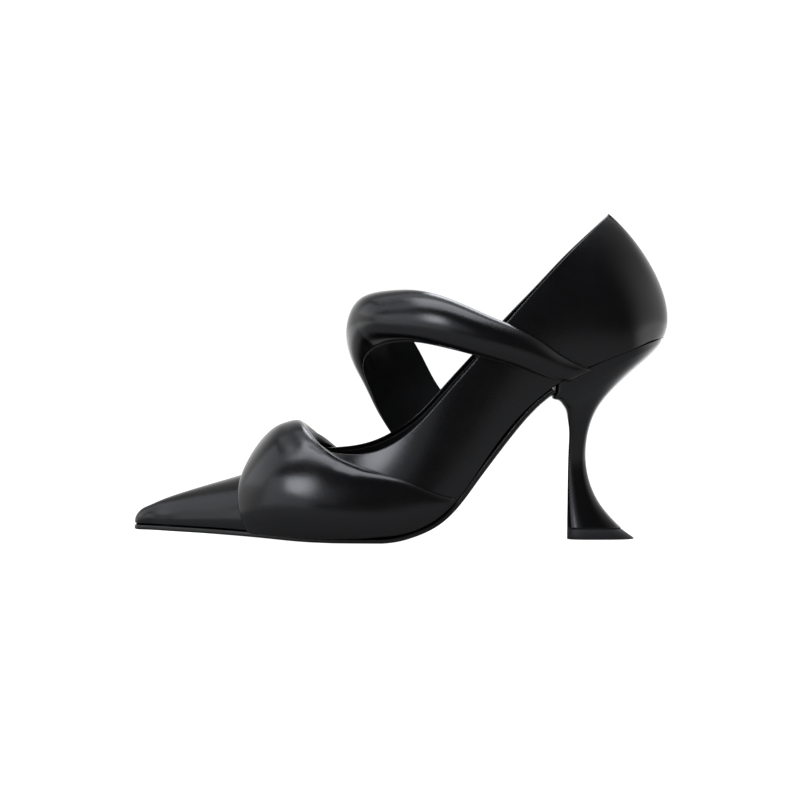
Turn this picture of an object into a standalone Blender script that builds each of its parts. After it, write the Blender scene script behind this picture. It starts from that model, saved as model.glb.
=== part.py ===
"""A left high heel shoe: pointed pump with a padded vamp band and a padded instep strap.

Units are metres in the scene; the tables below are in millimetres.
Toe towards -X, heel towards +X, outer (lateral) side at -Y, floor at z = 0.
"""

import bpy
import bmesh
import numpy as np

MM = 0.001

# Driving sizes of the shoe, in millimetres: toe to heel, across the sole at the ball, and from the
# floor to the back of the heel seat
SHOE_LENGTH = 245.7
BALL_WIDTH = 65.0
HEEL_HEIGHT = 92.0

# The tables below are drawn for these sizes, and every piece is stretched from them to the sizes above
DRAWN_LENGTH, DRAWN_BALL, DRAWN_HEEL = 245.7, 65.0, 92.0
STRETCH = np.array((SHOE_LENGTH / DRAWN_LENGTH, BALL_WIDTH / DRAWN_BALL, HEEL_HEIGHT / DRAWN_HEEL))

# Thicknesses and clearances, in millimetres
UPPER_WALL = 1.6
SOLE_THICK = 2.2
INSOLE_THICK = 1.8
SEAM_GAP = 0.3
OVERLAY_GAP = 0.4
INSOLE_INSET = 2.4

# Underside of the outsole from toe to breast, carried on below the heel seat: x, z
SOLE_LINE = (
    (-123, 3.7), (-100, 3.3), (-80, 2.7), (-60, 1.6), (-45, 0.5), (-30, 0.0), (-8, 0.0),
    (0, 1.0), (6, 2.7), (12.5, 5.2), (19.7, 9.6), (27, 17.0), (34, 26.3), (48.6, 45.5),
    (63, 61.8), (70.4, 67.6), (87, 76.7), (101, 82.4), (113.6, 87.2), (122, 90.2),
)

# The last, one row for each section from the toe to the back of the heel.
# foot: x on the sole line; lat, med: feather edge each side; out, up: how far the flank stands
# out and where it is fullest; crown_x, crown_y, crown_z: ridge or top of the section;
# half: half width of the crown; back, drop: how the crown leans at toe and heel.
LAST = (
    # foot     lat    med   out   up  crown_x crown_y crown_z half back drop
    (-122.5,   7.0,   7.0,  3.4, 0.30, -116.6,  7.0,   14.5,  0.0, -4.4, 1.0),
    (-121.2,   4.5,   9.4,  3.4, 0.30, -115.6,  6.9,   15.0,  1.8, -2.6, 0.6),
    (-117.4,   3.0,  10.6,  3.6, 0.32, -112.6,  6.7,   16.4,  3.4, -0.8, 0.1),
    (-108.0,  -1.8,  13.9,  3.8, 0.34, -105.5,  6.2,   19.2,  5.4,  0.0, 0.0),
    (-94.0,   -8.8,  19.4,  4.5, 0.36,  -93.0,  5.2,   23.2,  8.2,  0.0, 0.0),
    (-74.0,  -18.2,  26.2,  6.0, 0.38,  -75.5,  3.8,   28.4, 12.5,  0.0, 0.0),
    (-50.0,  -27.0,  31.0,  7.5, 0.38,  -57.0,  2.2,   34.2, 17.0,  0.0, 0.0),
    (-25.0,  -32.0,  32.8,  8.0, 0.36,  -42.0,  0.8,   41.5, 20.0,  0.0, 0.0),
    (0.0,    -33.0,  30.0,  7.0, 0.34,  -29.0,  0.0,   60.0, 22.0,  0.0, 0.0),
    (20.0,   -30.0,  26.5,  6.0, 0.33,  -16.6,  0.0,   81.0, 24.0,  0.0, 0.0),
    (40.0,   -25.8,  22.8,  6.0, 0.33,   -1.5,  0.0,  100.0, 25.0,  0.0, 0.0),
    (60.0,   -22.6,  21.2,  6.0, 0.33,   18.0,  0.0,  119.0, 25.5,  0.0, 0.0),
    (80.0,   -22.0,  21.8,  5.5, 0.34,   44.0,  0.0,  138.0, 25.0,  1.0, 0.5),
    (95.0,   -22.4,  22.4,  5.0, 0.34,   66.0,  0.0,  150.0, 21.5,  4.0, 2.0),
    (106.5,  -19.8,  19.8,  7.6, 0.32,   82.0,  0.0,  152.5, 15.0, 10.0, 7.0),
    (114.7,  -13.4,  13.4, 11.8, 0.30,   91.0,  0.0,  151.0,  8.0, 14.0, 11.0),
    (119.7,   -6.8,   6.8, 14.2, 0.28,   95.0,  0.0,  149.4,  3.6, 15.0, 12.4),
    (121.4,    0.0,   0.0, 14.8, 0.28,   96.2,  0.0,  148.9,  0.0, 15.3, 12.7),
)

# Topline of the upper seen from the side: x, height on the outer side, height on the inner side
TOPLINE = (
    (-42, 41.5, 41.5), (-36, 40.6, 41.2), (-29, 39.8, 41.2), (-20, 39.3, 42.0), (-12, 40.4, 44.0),
    (-2, 44.7, 48.8), (9, 53.5, 56.8), (21.5, 67.4, 70.6), (35, 83.0, 86.0), (48.5, 99.8, 101.4),
    (63, 116.2, 116.4), (78, 132.2, 132.2), (91, 144.3, 144.3), (96.2, 148.9, 148.9),
)

# Padded vamp band. wrap: 0 at the outer feather edge, 1 on the ridge, 2 at the inner feather
# edge; front, rear: sections (by foot x) of its edges; puff: thickness of the padding;
# peak: where it is thickest, from front to rear; roll: how blunt its rear edge is. Near the
# ridge, as far as UPRIGHT_REACH of wrap, the padding swells upwards and not square to the vamp.
VAMP_BAND = (
    # wrap  front   rear  puff  peak  roll
    (0.03,  -69.0,  25.0,  2.2, 0.45, 1.6),
    (0.25,  -70.5,  12.5,  6.5, 0.45, 1.6),
    (0.50,  -71.5,  -5.0,  9.0, 0.48, 1.7),
    (0.75,  -71.5, -16.5, 13.5, 0.52, 2.1),
    (1.00,  -71.5, -24.5, 17.5, 0.54, 2.3),
    (1.25,  -71.5, -17.0, 13.5, 0.53, 2.3),
    (1.50,  -71.5,  -8.5,  8.5, 0.50, 1.8),
    (1.75,  -70.5,  -2.0,  6.0, 0.45, 1.6),
    (1.97,  -69.0,   4.0,  2.2, 0.45, 1.6),
)
UPRIGHT_REACH = 0.7
FRONT_RIM = 0.7

# Padded instep strap, from the outer heel seam over the instep to the inner waist: the middle of
# its inner face, its width and the thickness of its padding.
INSTEP_STRAP = (
    # x      y      z    width  puff
    (84.5, -23.0,  78.2,  5.0,  2.5),
    (76.0, -24.5,  77.6, 10.0,  4.5),
    (67.5, -25.5,  80.2, 13.0,  6.5),
    (57.7, -27.0,  85.0, 15.0,  8.0),
    (40.0, -27.5,  93.2, 16.5,  9.5),
    (19.0, -20.0,  99.2, 20.0, 11.5),
    (3.0,  -10.0, 100.4, 24.0, 15.5),
    (-7.0,   0.0,  95.8, 27.0, 18.0),
    (-7.5,  10.0,  89.0, 28.0, 17.0),
    (-3.5,  20.0,  80.0, 28.0, 13.0),
    (3.5,   26.0,  66.0, 29.0, 10.0),
    (12.0,  28.5,  52.0, 30.0,  8.0),
    (20.5,  29.0,  38.0, 30.0,  5.5),
    (28.5,  27.0,  25.0, 29.0,  2.2),
)

# Heel, one row for each level below the seat: front and back ends and the half width
HEEL = (
    # front_x front_z back_x back_z  half
    (71.2,    67.2,   119.4,  90.0, 21.6),
    (72.0,    65.0,   116.6,  87.6, 20.6),
    (73.6,    62.8,   110.8,  82.2, 17.6),
    (75.8,    59.8,   103.0,  75.2, 14.4),
    (77.3,    56.0,    95.4,  67.9, 11.2),
    (77.9,    51.0,    89.4,  60.0,  8.4),
    (77.8,    43.5,    85.3,  47.0,  6.2),
    (77.4,    36.0,    84.6,  36.5,  5.4),
    (77.1,    26.0,    86.4,  26.0,  6.0),
    (77.0,    16.0,    91.0,  16.0,  7.8),
    (76.9,    10.0,    95.6,  10.0,  9.2),
    (76.8,     5.0,   100.6,   5.0, 10.6),
)
SEAT_FRONT, SEAT_BACK, SEAT_HALF = 70.6, 120.0, 21.8
SEAT_MIDDLE = 95.0
OUTSOLE_END = 70.2

# Top piece, from its upper face to the floor: height, front and back ends and the half width
TOP_PIECE = (
    (4.7, 76.8, 101.0, 10.7),
    (0.0, 76.8, 107.4, 11.4),
)

# Outline of the heel: where it is widest, from front to back, and how square its breast and back are
HEEL_WIDEST = 0.42
BREAST_SQUARE = 6.0
BACK_SQUARE = 2.1

# How far the sole edge stands out of the upper, ahead of the waist and behind its start
FOREPART_EDGE = 0.6
WAIST_EDGE = -0.6
WAIST_START, WAIST_END = -10.0, 25.0

# How full the padding of the strap is across its width
STRAP_FULLNESS = 2.3

# Mesh density
TOE_COLUMNS = 20
QUARTER_COLUMNS = 28
UPPER_ROWS = 11
BAND_LENGTHS, BAND_WIDTHS = 26, 13
STRAP_LENGTHS, STRAP_WIDTHS = 36, 10
OUTSOLE_ACROSS, INSOLE_ACROSS = 5, 4
HEEL_SIDES = 28
FINE = 900
BISECTIONS = 40

# Small steps, in millimetres or in wrap, over which slopes of the last are measured
SHORT_STEP = 0.05
LONG_STEP = 0.2
WRAP_STEP = 0.004

# Points of the mesh closer than this are one point, in millimetres
WELD = 0.02

# Grid of the last on which the strap's middle line is looked up, and how near to the feather edge it may go
STRAP_FROM, STRAP_TO = -30.0, 112.0
STRAP_GRID_ALONG, STRAP_GRID_WRAP = 220, 401
STRAP_WRAP_END = 0.02


def spline(knots, values, at, closed=False):
    """Cubic spline through values at knots, natural at its ends or closed on itself."""
    knots = np.asarray(knots, float)
    values = np.asarray(values, float)
    count = len(values)
    step = np.diff(knots)
    system = np.zeros((count, count))
    right = np.zeros(values.shape)
    for i in range(count):
        if not closed and i in (0, count - 1):
            system[i, i] = 1.0
            continue
        before, after = (i - 1) % count, (i + 1) % count
        system[i, before] += step[i - 1] / 6
        system[i, i] += (step[i - 1] + step[i]) / 3
        system[i, after] += step[i] / 6
        right[i] = (values[after] - values[i]) / step[i] - (values[i] - values[before]) / step[i - 1]
    bend = np.linalg.solve(system, right)
    at = np.asarray(at, float)
    low = np.clip(np.searchsorted(knots, at, side="right") - 1, 0, len(step) - 1)
    high = (low + 1) % count
    span = step[low]
    b = (at - knots[low]) / span
    a = 1 - b
    shape = at.shape + (1,) * (values.ndim - 1)
    a, b, span = a.reshape(shape), b.reshape(shape), span.reshape(shape)
    curve = ((a**3 - a) * bend[low] + (b**3 - b) * bend[high]) * span**2 / 6
    return a * values[low] + b * values[high] + curve


# Sole line as a fine curve with its upward normal
SOLE_X = np.linspace(SOLE_LINE[0][0], SOLE_LINE[-1][0], FINE)
SOLE_Z = np.maximum(spline(*np.transpose(SOLE_LINE), SOLE_X), 0.0)
SOLE_SLOPE = np.arctan(np.gradient(SOLE_Z, SOLE_X))


def above_sole(foot, lift):
    """Point x, z at a distance above the sole line, square to it."""
    slope = np.interp(foot, SOLE_X, SOLE_SLOPE)
    height = np.interp(foot, SOLE_X, SOLE_Z)
    return foot - lift * np.sin(slope), height + lift * np.cos(slope)


LAST_TABLE = np.array(LAST)
FOOT, LAT, MED, OUT, UP = LAST_TABLE[:, :5].T
CROWN_X, CROWN_Y, CROWN_Z, HALF, BACK, DROP = LAST_TABLE[:, 5:].T
FEATHER_LIFT = SOLE_THICK + SEAM_GAP


def around(lateral, medial):
    """Rows of the outer side, toe to heel, then rows of the inner side back to the toe."""
    return np.concatenate([lateral, medial[-2:0:-1]])


def last_levels():
    """Knots round the shoe and the four lines that shape it: feather, flank, shoulder, crown."""
    foot_x, foot_z = above_sole(FOOT, FEATHER_LIFT)
    feather = around(np.stack([foot_x, LAT, foot_z], 1), np.stack([foot_x, MED, foot_z], 1))
    mean_half = (MED - LAT) / 2
    steps = np.hypot(np.hypot(np.diff(FOOT), np.diff(mean_half)), np.diff(foot_z))
    half_way = np.concatenate([[0], np.cumsum(steps)])
    knots = np.concatenate([half_way, 2 * half_way[-1] - half_way[-2::-1]])
    ahead = spline(knots, feather, knots[:-1] + SHORT_STEP, closed=True)
    tangent = ahead - feather
    outward = np.stack([-tangent[:, 1], tangent[:, 0], 0 * tangent[:, 0]], 1)
    outward *= -1 / np.linalg.norm(outward, axis=1, keepdims=True)
    crown_side = np.stack([CROWN_X, CROWN_Y, CROWN_Z], 1)
    crown = around(crown_side, crown_side)
    lean = np.stack([BACK, -HALF, -DROP], 1)
    shoulder = around(crown_side + lean, crown_side + lean * (1, -1, 1))
    out, up = around(OUT, OUT)[:, None], around(UP, UP)[:, None]
    flank = feather + (crown - feather) * (1, 0, 1) * up + outward * out
    return knots, (feather, flank, shoulder, crown)


KNOTS, LEVELS = last_levels()
HALF_WAY = KNOTS[len(LAST) - 1]


def last_rib(turn, height):
    """Point on the last: turn is the way round the feather edge, height runs 0 to 1 up the rib."""
    turn, height = np.broadcast_arrays(np.asarray(turn, float), np.asarray(height, float))
    turn = np.mod(turn, 2 * HALF_WAY)
    v = height[..., None]
    feather, flank, shoulder, crown = (spline(KNOTS, level, turn, closed=True) for level in LEVELS)
    return (
        (1 - v) ** 3 * feather
        + 3 * (1 - v) ** 2 * v * flank
        + 3 * (1 - v) * v**2 * shoulder
        + v**3 * crown
    )


def last_wrap(along, wrap):
    """Point on the last: along is the way from the toe, wrap runs 0 to 2 over the crown."""
    along, wrap = np.broadcast_arrays(np.asarray(along, float), np.asarray(wrap, float))
    inner = wrap > 1
    return last_rib(np.where(inner, 2 * HALF_WAY - along, along), np.where(inner, 2 - wrap, wrap))


def last_normal(along, wrap):
    """Outward unit normal of the last."""
    d_along = last_wrap(along + LONG_STEP, wrap) - last_wrap(along - LONG_STEP, wrap)
    low, high = np.clip(wrap - WRAP_STEP, 0, 2), np.clip(wrap + WRAP_STEP, 0, 2)
    d_wrap = last_wrap(along, high) - last_wrap(along, low)
    normal = np.cross(d_along, d_wrap)
    return normal / np.linalg.norm(normal, axis=-1, keepdims=True)


def foot_at(along):
    """x on the sole line of the section at a way from the toe."""
    return spline(KNOTS[: len(LAST)], FOOT, along)


def along_of(foot):
    """Way from the toe at which a section stands on the given x of the sole line."""
    fine = np.linspace(0, HALF_WAY, FINE)
    return np.interp(foot, foot_at(fine), fine)


def topline_height(turn):
    """Height up each rib at which the topline cuts it, by bisection; 1 ahead of the throat."""
    turn = np.mod(np.asarray(turn, float), 2 * HALF_WAY)
    inner = turn > HALF_WAY
    along = np.where(inner, 2 * HALF_WAY - turn, turn)
    x, outer_z, inner_z = np.transpose(TOPLINE)
    fine = np.linspace(x[0], x[-1], FINE)
    outer_z, inner_z = spline(x, outer_z, fine), spline(x, inner_z, fine)
    low, high = np.zeros(turn.shape), np.ones(turn.shape)
    for _ in range(BISECTIONS):
        middle = (low + high) / 2
        point = last_rib(turn, middle)
        top = np.where(
            inner, np.interp(point[..., 0], fine, inner_z), np.interp(point[..., 0], fine, outer_z)
        )
        above = point[..., 2] > top
        high, low = np.where(above, middle, high), np.where(above, low, middle)
    return np.where(along < THROAT + SHORT_STEP, 1.0, low)


def eased(start, end, count, share=0.6):
    """Evenly spaced values drawn closer together at both ends."""
    t = np.linspace(0, 1, count + 1)
    return start + (end - start) * ((1 - share) * t + share * (1 - np.cos(np.pi * t)) / 2)


CROWN_FINE = np.linspace(0, HALF_WAY, FINE)
THROAT = np.interp(TOPLINE[0][0], last_rib(CROWN_FINE, 1.0)[:, 0], CROWN_FINE)
ALONG = np.concatenate(
    [eased(0, THROAT, TOE_COLUMNS)[:-1], eased(THROAT, HALF_WAY, QUARTER_COLUMNS)]
)


def leather(name, shade, roughness):
    """Principled material of one part."""
    material = bpy.data.materials.new(name)
    material.use_nodes = True
    shader = material.node_tree.nodes["Principled BSDF"]
    shader.inputs["Base Color"].default_value = (shade, shade, shade, 1)
    shader.inputs["Roughness"].default_value = roughness
    shader.inputs["Metallic"].default_value = 0.0
    return material


def grid_faces(rows, columns, wrap_columns=False):
    """Quads of a grid of rows by columns, whose columns may close on themselves."""
    index = np.arange(rows * columns).reshape(rows, columns)
    if wrap_columns:
        index = np.concatenate([index, index[:, :1]], axis=1)
    corners = index[:-1, :-1], index[:-1, 1:], index[1:, 1:], index[1:, :-1]
    return np.stack([corner.ravel() for corner in corners], 1).tolist()


def add_part(name, points, faces, material, wall=0.0):
    """Mesh object from points in millimetres, welded, facing out and given a wall if asked."""
    mesh = bpy.data.meshes.new(name)
    mesh.from_pydata((np.asarray(points).reshape(-1, 3) * STRETCH * MM).tolist(), [], faces)
    shape = bmesh.new()
    shape.from_mesh(mesh)
    bmesh.ops.remove_doubles(shape, verts=shape.verts, dist=WELD * MM)
    bmesh.ops.dissolve_degenerate(shape, edges=shape.edges, dist=WELD * MM)
    bmesh.ops.recalc_face_normals(shape, faces=shape.faces)
    shape.to_mesh(mesh)
    shape.free()
    mesh.shade_smooth()
    part = bpy.data.objects.new(name, mesh)
    part.data.materials.append(material)
    SHOE.objects.link(part)
    if wall:
        shell = part.modifiers.new("Wall", "SOLIDIFY")
        shell.thickness = wall * MM
        shell.offset = -1.0
        shell.use_even_offset = True
        shell.use_rim = True
    return part


def make_upper(material):
    """Lasted shell from the feather edge up to the ridge or the topline."""
    turn = np.concatenate([ALONG, 2 * HALF_WAY - ALONG[-2:0:-1]])
    top = topline_height(turn)
    share = np.linspace(0, 1, UPPER_ROWS + 1)[:, None]
    points = last_rib(turn[None, :] + 0 * share, share * top[None, :])
    add_part("upper", points, grid_faces(*points.shape[:2], wrap_columns=True), material, UPPER_WALL)


def sole_sheet(along, lift, edge, across):
    """Sheet under the foot: rows at the given sections, edges moved out of the feather edge."""
    fore, aft = np.clip(along - SHORT_STEP, 0, HALF_WAY), np.clip(along + SHORT_STEP, 0, HALF_WAY)
    foot = foot_at(along)
    sides = []
    for sign, turn_of in ((-1, lambda a: a), (1, lambda a: 2 * HALF_WAY - a)):
        point = last_rib(turn_of(along), 0.0)
        run = last_rib(turn_of(aft), 0.0) - last_rib(turn_of(fore), 0.0)
        outward = np.stack([-run[:, 1] * sign, run[:, 0] * sign], 1)
        outward /= np.linalg.norm(outward, axis=1, keepdims=True)
        outward[along <= 0.0] = (-1, 0)
        outward[along >= HALF_WAY] = (1, 0)
        sides.append(np.stack([foot + outward[:, 0] * edge, point[:, 1] + outward[:, 1] * edge], 1))
    share = np.linspace(0, 1, across + 1)[:, None, None]
    plan = sides[0] * (1 - share) + sides[1] * share
    x, z = above_sole(plan[..., 0], lift)
    return np.stack([x, plan[..., 1], z], -1)


def make_outsole(material):
    """Thin sole from the toe to the breast, standing slightly out at the forepart."""
    end = along_of(OUTSOLE_END)
    along = np.concatenate([ALONG[ALONG < end - SOLE_THICK], [end]])
    ease = np.clip((foot_at(along) - WAIST_START) / (WAIST_END - WAIST_START), 0, 1)
    edge = FOREPART_EDGE + (WAIST_EDGE - FOREPART_EDGE) * ease**2 * (3 - 2 * ease)
    under = sole_sheet(along, 0.0, edge, OUTSOLE_ACROSS)
    over = sole_sheet(along, SOLE_THICK, edge, OUTSOLE_ACROSS)
    add_slab("outsole", under, over, material)


def make_insole(material):
    """Covered board lying inside the wall of the upper, on the sole and the heel seat."""
    inset = np.full(ALONG.shape, -INSOLE_INSET)
    under = sole_sheet(ALONG, FEATHER_LIFT, inset, INSOLE_ACROSS)
    over = sole_sheet(ALONG, FEATHER_LIFT + INSOLE_THICK, inset, INSOLE_ACROSS)
    add_slab("insole", under, over, material)


def add_slab(name, under, over, material):
    """Closed plate between two sheets of the same grid."""
    rows, columns = under.shape[:2]
    sheet = grid_faces(rows, columns)
    index = np.arange(rows * columns).reshape(rows, columns)
    rim = np.concatenate([index[0], index[1:, -1], index[-1, -2::-1], index[-2:0:-1, 0]])
    count = rows * columns
    walls = [
        [a, b, b + count, a + count] for a, b in zip(rim.tolist(), np.roll(rim, -1).tolist())
    ]
    faces = sheet + [[i + count for i in face] for face in sheet] + walls
    add_part(name, np.concatenate([under.reshape(-1, 3), over.reshape(-1, 3)]), faces, material)


def strap_profile(across):
    """Height of padding across its width, -1 to 1: a full rounded cushion, nil at both edges."""
    return (1 - np.abs(across) ** STRAP_FULLNESS) ** (1 / STRAP_FULLNESS)


def band_profile(share, peak, roll):
    """Height of the band from its front edge to its rear: a rim, a long swell and a blunt roll."""
    swell = np.sin(np.pi / 2 * np.clip(share / peak, 0, 1)) ** FRONT_RIM
    rear = np.clip((share - peak) / (1 - peak), 0, 1)
    return np.where(share < peak, swell, (1 - rear**roll) ** (1 / roll))


def make_vamp_band(material):
    """Padded band between two edges of the last, from one feather edge over to the other."""
    rows = np.array(VAMP_BAND)
    wrap = np.linspace(rows[0, 0], rows[-1, 0], BAND_LENGTHS + 1)
    front, rear, puff, peak, roll = spline(rows[:, 0], rows[:, 1:], wrap).T
    share = eased(0, 1, BAND_WIDTHS, 1.0)[:, None]
    along = along_of(front + (rear - front) * share)
    wrap = np.broadcast_to(wrap, along.shape)
    surface, normal = last_wrap(along, wrap), last_normal(along, wrap)
    upright = np.clip(1 - np.abs(wrap - 1) / UPRIGHT_REACH, 0, 1)[..., None]
    swell_way = normal * (1 - upright) + np.array((0, 0, 1)) * upright
    swell_way /= np.linalg.norm(swell_way, axis=-1, keepdims=True)
    lift = band_profile(share, peak, roll) * puff
    under = surface + normal * OVERLAY_GAP
    over = under + swell_way * lift[..., None]
    add_slab("vamp_band", under, over, material)


def nearest_on_last(points):
    """Along and wrap of the last's points nearest to the given ones."""
    along, wrap = np.meshgrid(
        np.linspace(along_of(STRAP_FROM), along_of(STRAP_TO), STRAP_GRID_ALONG),
        np.linspace(0.0, 2.0, STRAP_GRID_WRAP),
        indexing="ij",
    )
    surface = last_wrap(along, wrap)
    found = [np.argmin(np.sum((surface - point) ** 2, -1)) for point in points]
    return along.ravel()[found], wrap.ravel()[found]


def make_instep_strap(material):
    """Padded strap lying on the last, from the outer heel seam over to the inner waist."""
    table = np.array(INSTEP_STRAP)
    along_rows, wrap_rows = nearest_on_last(table[:, :3])
    knots = np.concatenate([[0], np.cumsum(np.linalg.norm(np.diff(table[:, :3], axis=0), axis=1))])
    way = np.linspace(0, knots[-1], STRAP_LENGTHS + 1)
    along, wrap, width, puff = (
        spline(knots, column, way) for column in (along_rows, wrap_rows, table[:, 3], table[:, 4])
    )
    middle, normal = last_wrap(along, wrap), last_normal(along, wrap)
    run = np.gradient(middle, way, axis=0)
    sideways = np.cross(normal, run)
    sideways /= np.linalg.norm(sideways, axis=1, keepdims=True)
    d_along = last_wrap(along + LONG_STEP, wrap) - last_wrap(along - LONG_STEP, wrap)
    d_wrap = last_wrap(along, wrap + WRAP_STEP) - last_wrap(along, wrap - WRAP_STEP)
    frame = np.stack([d_along / (2 * LONG_STEP), d_wrap / (2 * WRAP_STEP)], -1)
    move = np.einsum("nij,nj->ni", np.linalg.pinv(frame), sideways)
    across = eased(-1, 1, STRAP_WIDTHS, 1.0)[:, None]
    along = along + across * width / 2 * move[:, 0]
    wrap = np.clip(wrap + across * width / 2 * move[:, 1], STRAP_WRAP_END, 2 - STRAP_WRAP_END)
    surface, normal = last_wrap(along, wrap), last_normal(along, wrap)
    lift = strap_profile(across) * puff
    under = surface + normal * OVERLAY_GAP
    over = surface + normal * (OVERLAY_GAP + lift)[..., None]
    add_slab("instep_strap", under, over, material)


def heel_ring(front, back, half):
    """Flat-fronted outline, x and y: a squarish breast and a rounded back."""
    angle = (np.arange(HEEL_SIDES) + 0.5) * 2 * np.pi / HEEL_SIDES
    widest = front + HEEL_WIDEST * (back - front)
    c, s = np.cos(angle), np.sin(angle)
    power = np.where(c > 0, 2 / BACK_SQUARE, 2 / BREAST_SQUARE)
    reach = np.where(c > 0, back - widest, widest - front)
    return widest + np.sign(c) * np.abs(c) ** power * reach, np.sign(s) * np.abs(s) ** power * half


def make_heel(material):
    """Loft from the tilted seat down to the top piece."""
    seat_x, seat_z = above_sole(SOLE_X, SOLE_THICK)
    x, y = heel_ring(SEAT_FRONT, SEAT_BACK, SEAT_HALF)
    rings = [np.stack([x, y, np.interp(x, seat_x, seat_z)], 1)]
    for front_x, front_z, back_x, back_z, half in HEEL:
        x, y = heel_ring(front_x, back_x, half)
        z = front_z + (back_z - front_z) * (x - front_x) / (back_x - front_x)
        rings.append(np.stack([x, y, z], 1))
    middle = (SEAT_MIDDLE, 0.0, float(np.interp(SEAT_MIDDLE, seat_x, seat_z)))
    add_loft("heel", np.array(rings), material, middle)


def make_top_piece(material):
    """Hard tip that carries the flare of the heel down to the floor."""
    rings = []
    for z, front, back, half in TOP_PIECE:
        x, y = heel_ring(front, back, half)
        rings.append(np.stack([x, y, np.full(x.shape, z)], 1))
    add_loft("top_piece", np.array(rings), material)


def add_loft(name, rings, material, crown=None):
    """Closed loft through rings of equal count, capped flat or, at the top, to a crown point."""
    levels, sides = rings.shape[:2]
    points = rings.reshape(-1, 3).tolist()
    faces = grid_faces(levels, sides, wrap_columns=True)
    faces.append(list(range((levels - 1) * sides, levels * sides)))
    if crown is None:
        faces.append(list(range(sides)))
    else:
        points.append(list(crown))
        faces += [[i, (i + 1) % sides, levels * sides] for i in range(sides)]
    add_part(name, points, faces, material)


for old in list(bpy.data.objects):
    bpy.data.objects.remove(old, do_unlink=True)
SHOE = bpy.data.collections.new("high_heel_shoe")
bpy.context.scene.collection.children.link(SHOE)
BLACK_LEATHER = leather("black leather", 0.012, 0.35)
make_upper(BLACK_LEATHER)
make_vamp_band(BLACK_LEATHER)
make_instep_strap(BLACK_LEATHER)
make_insole(leather("insole lining", 0.015, 0.5))
make_outsole(leather("black sole", 0.01, 0.3))
make_heel(BLACK_LEATHER)
make_top_piece(leather("hard tip", 0.02, 0.6))
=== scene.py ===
"""Looks of a left high heel shoe: a pointed pump of black leather with a padded band over the vamp,
a padded strap over the instep and a flared, leather-covered heel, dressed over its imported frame.

The scene is in metres, with the toe towards -X, the outer side at -Y and the floor at z = 0.
The tables of the last and of the pieces are in millimetres.
"""

import bmesh
import bpy
import numpy as np
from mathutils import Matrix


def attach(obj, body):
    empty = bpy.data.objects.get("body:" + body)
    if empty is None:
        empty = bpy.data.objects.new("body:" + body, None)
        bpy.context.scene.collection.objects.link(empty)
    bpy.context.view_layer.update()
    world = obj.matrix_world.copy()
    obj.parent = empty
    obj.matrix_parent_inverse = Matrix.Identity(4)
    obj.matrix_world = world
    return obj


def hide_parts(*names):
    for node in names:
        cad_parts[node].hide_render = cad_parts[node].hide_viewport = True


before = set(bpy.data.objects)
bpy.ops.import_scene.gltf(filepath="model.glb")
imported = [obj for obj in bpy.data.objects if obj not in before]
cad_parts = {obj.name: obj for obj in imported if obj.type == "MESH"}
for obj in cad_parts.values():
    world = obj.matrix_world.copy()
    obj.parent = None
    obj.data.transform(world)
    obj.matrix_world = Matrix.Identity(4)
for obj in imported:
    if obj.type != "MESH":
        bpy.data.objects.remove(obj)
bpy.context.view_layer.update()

# The last and the insole
# A shoe is built round a last, a solid form of the foot. The insole is a stiff board covered with
# thin black lining leather; it is tacked under the last first, and all else is laid round the two.

MM = 0.001

# Underside of the outsole from toe to breast, carried on below the heel seat: x, z
SOLE_LINE = (
    (-123, 3.7), (-100, 3.3), (-80, 2.7), (-60, 1.6), (-45, 0.5), (-30, 0.0), (-8, 0.0),
    (0, 1.0), (6, 2.7), (12.5, 5.2), (19.7, 9.6), (27, 17.0), (34, 26.3), (48.6, 45.5),
    (63, 61.8), (70.4, 67.6), (87, 76.7), (101, 82.4), (113.6, 87.2), (122, 90.2),
)

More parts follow.
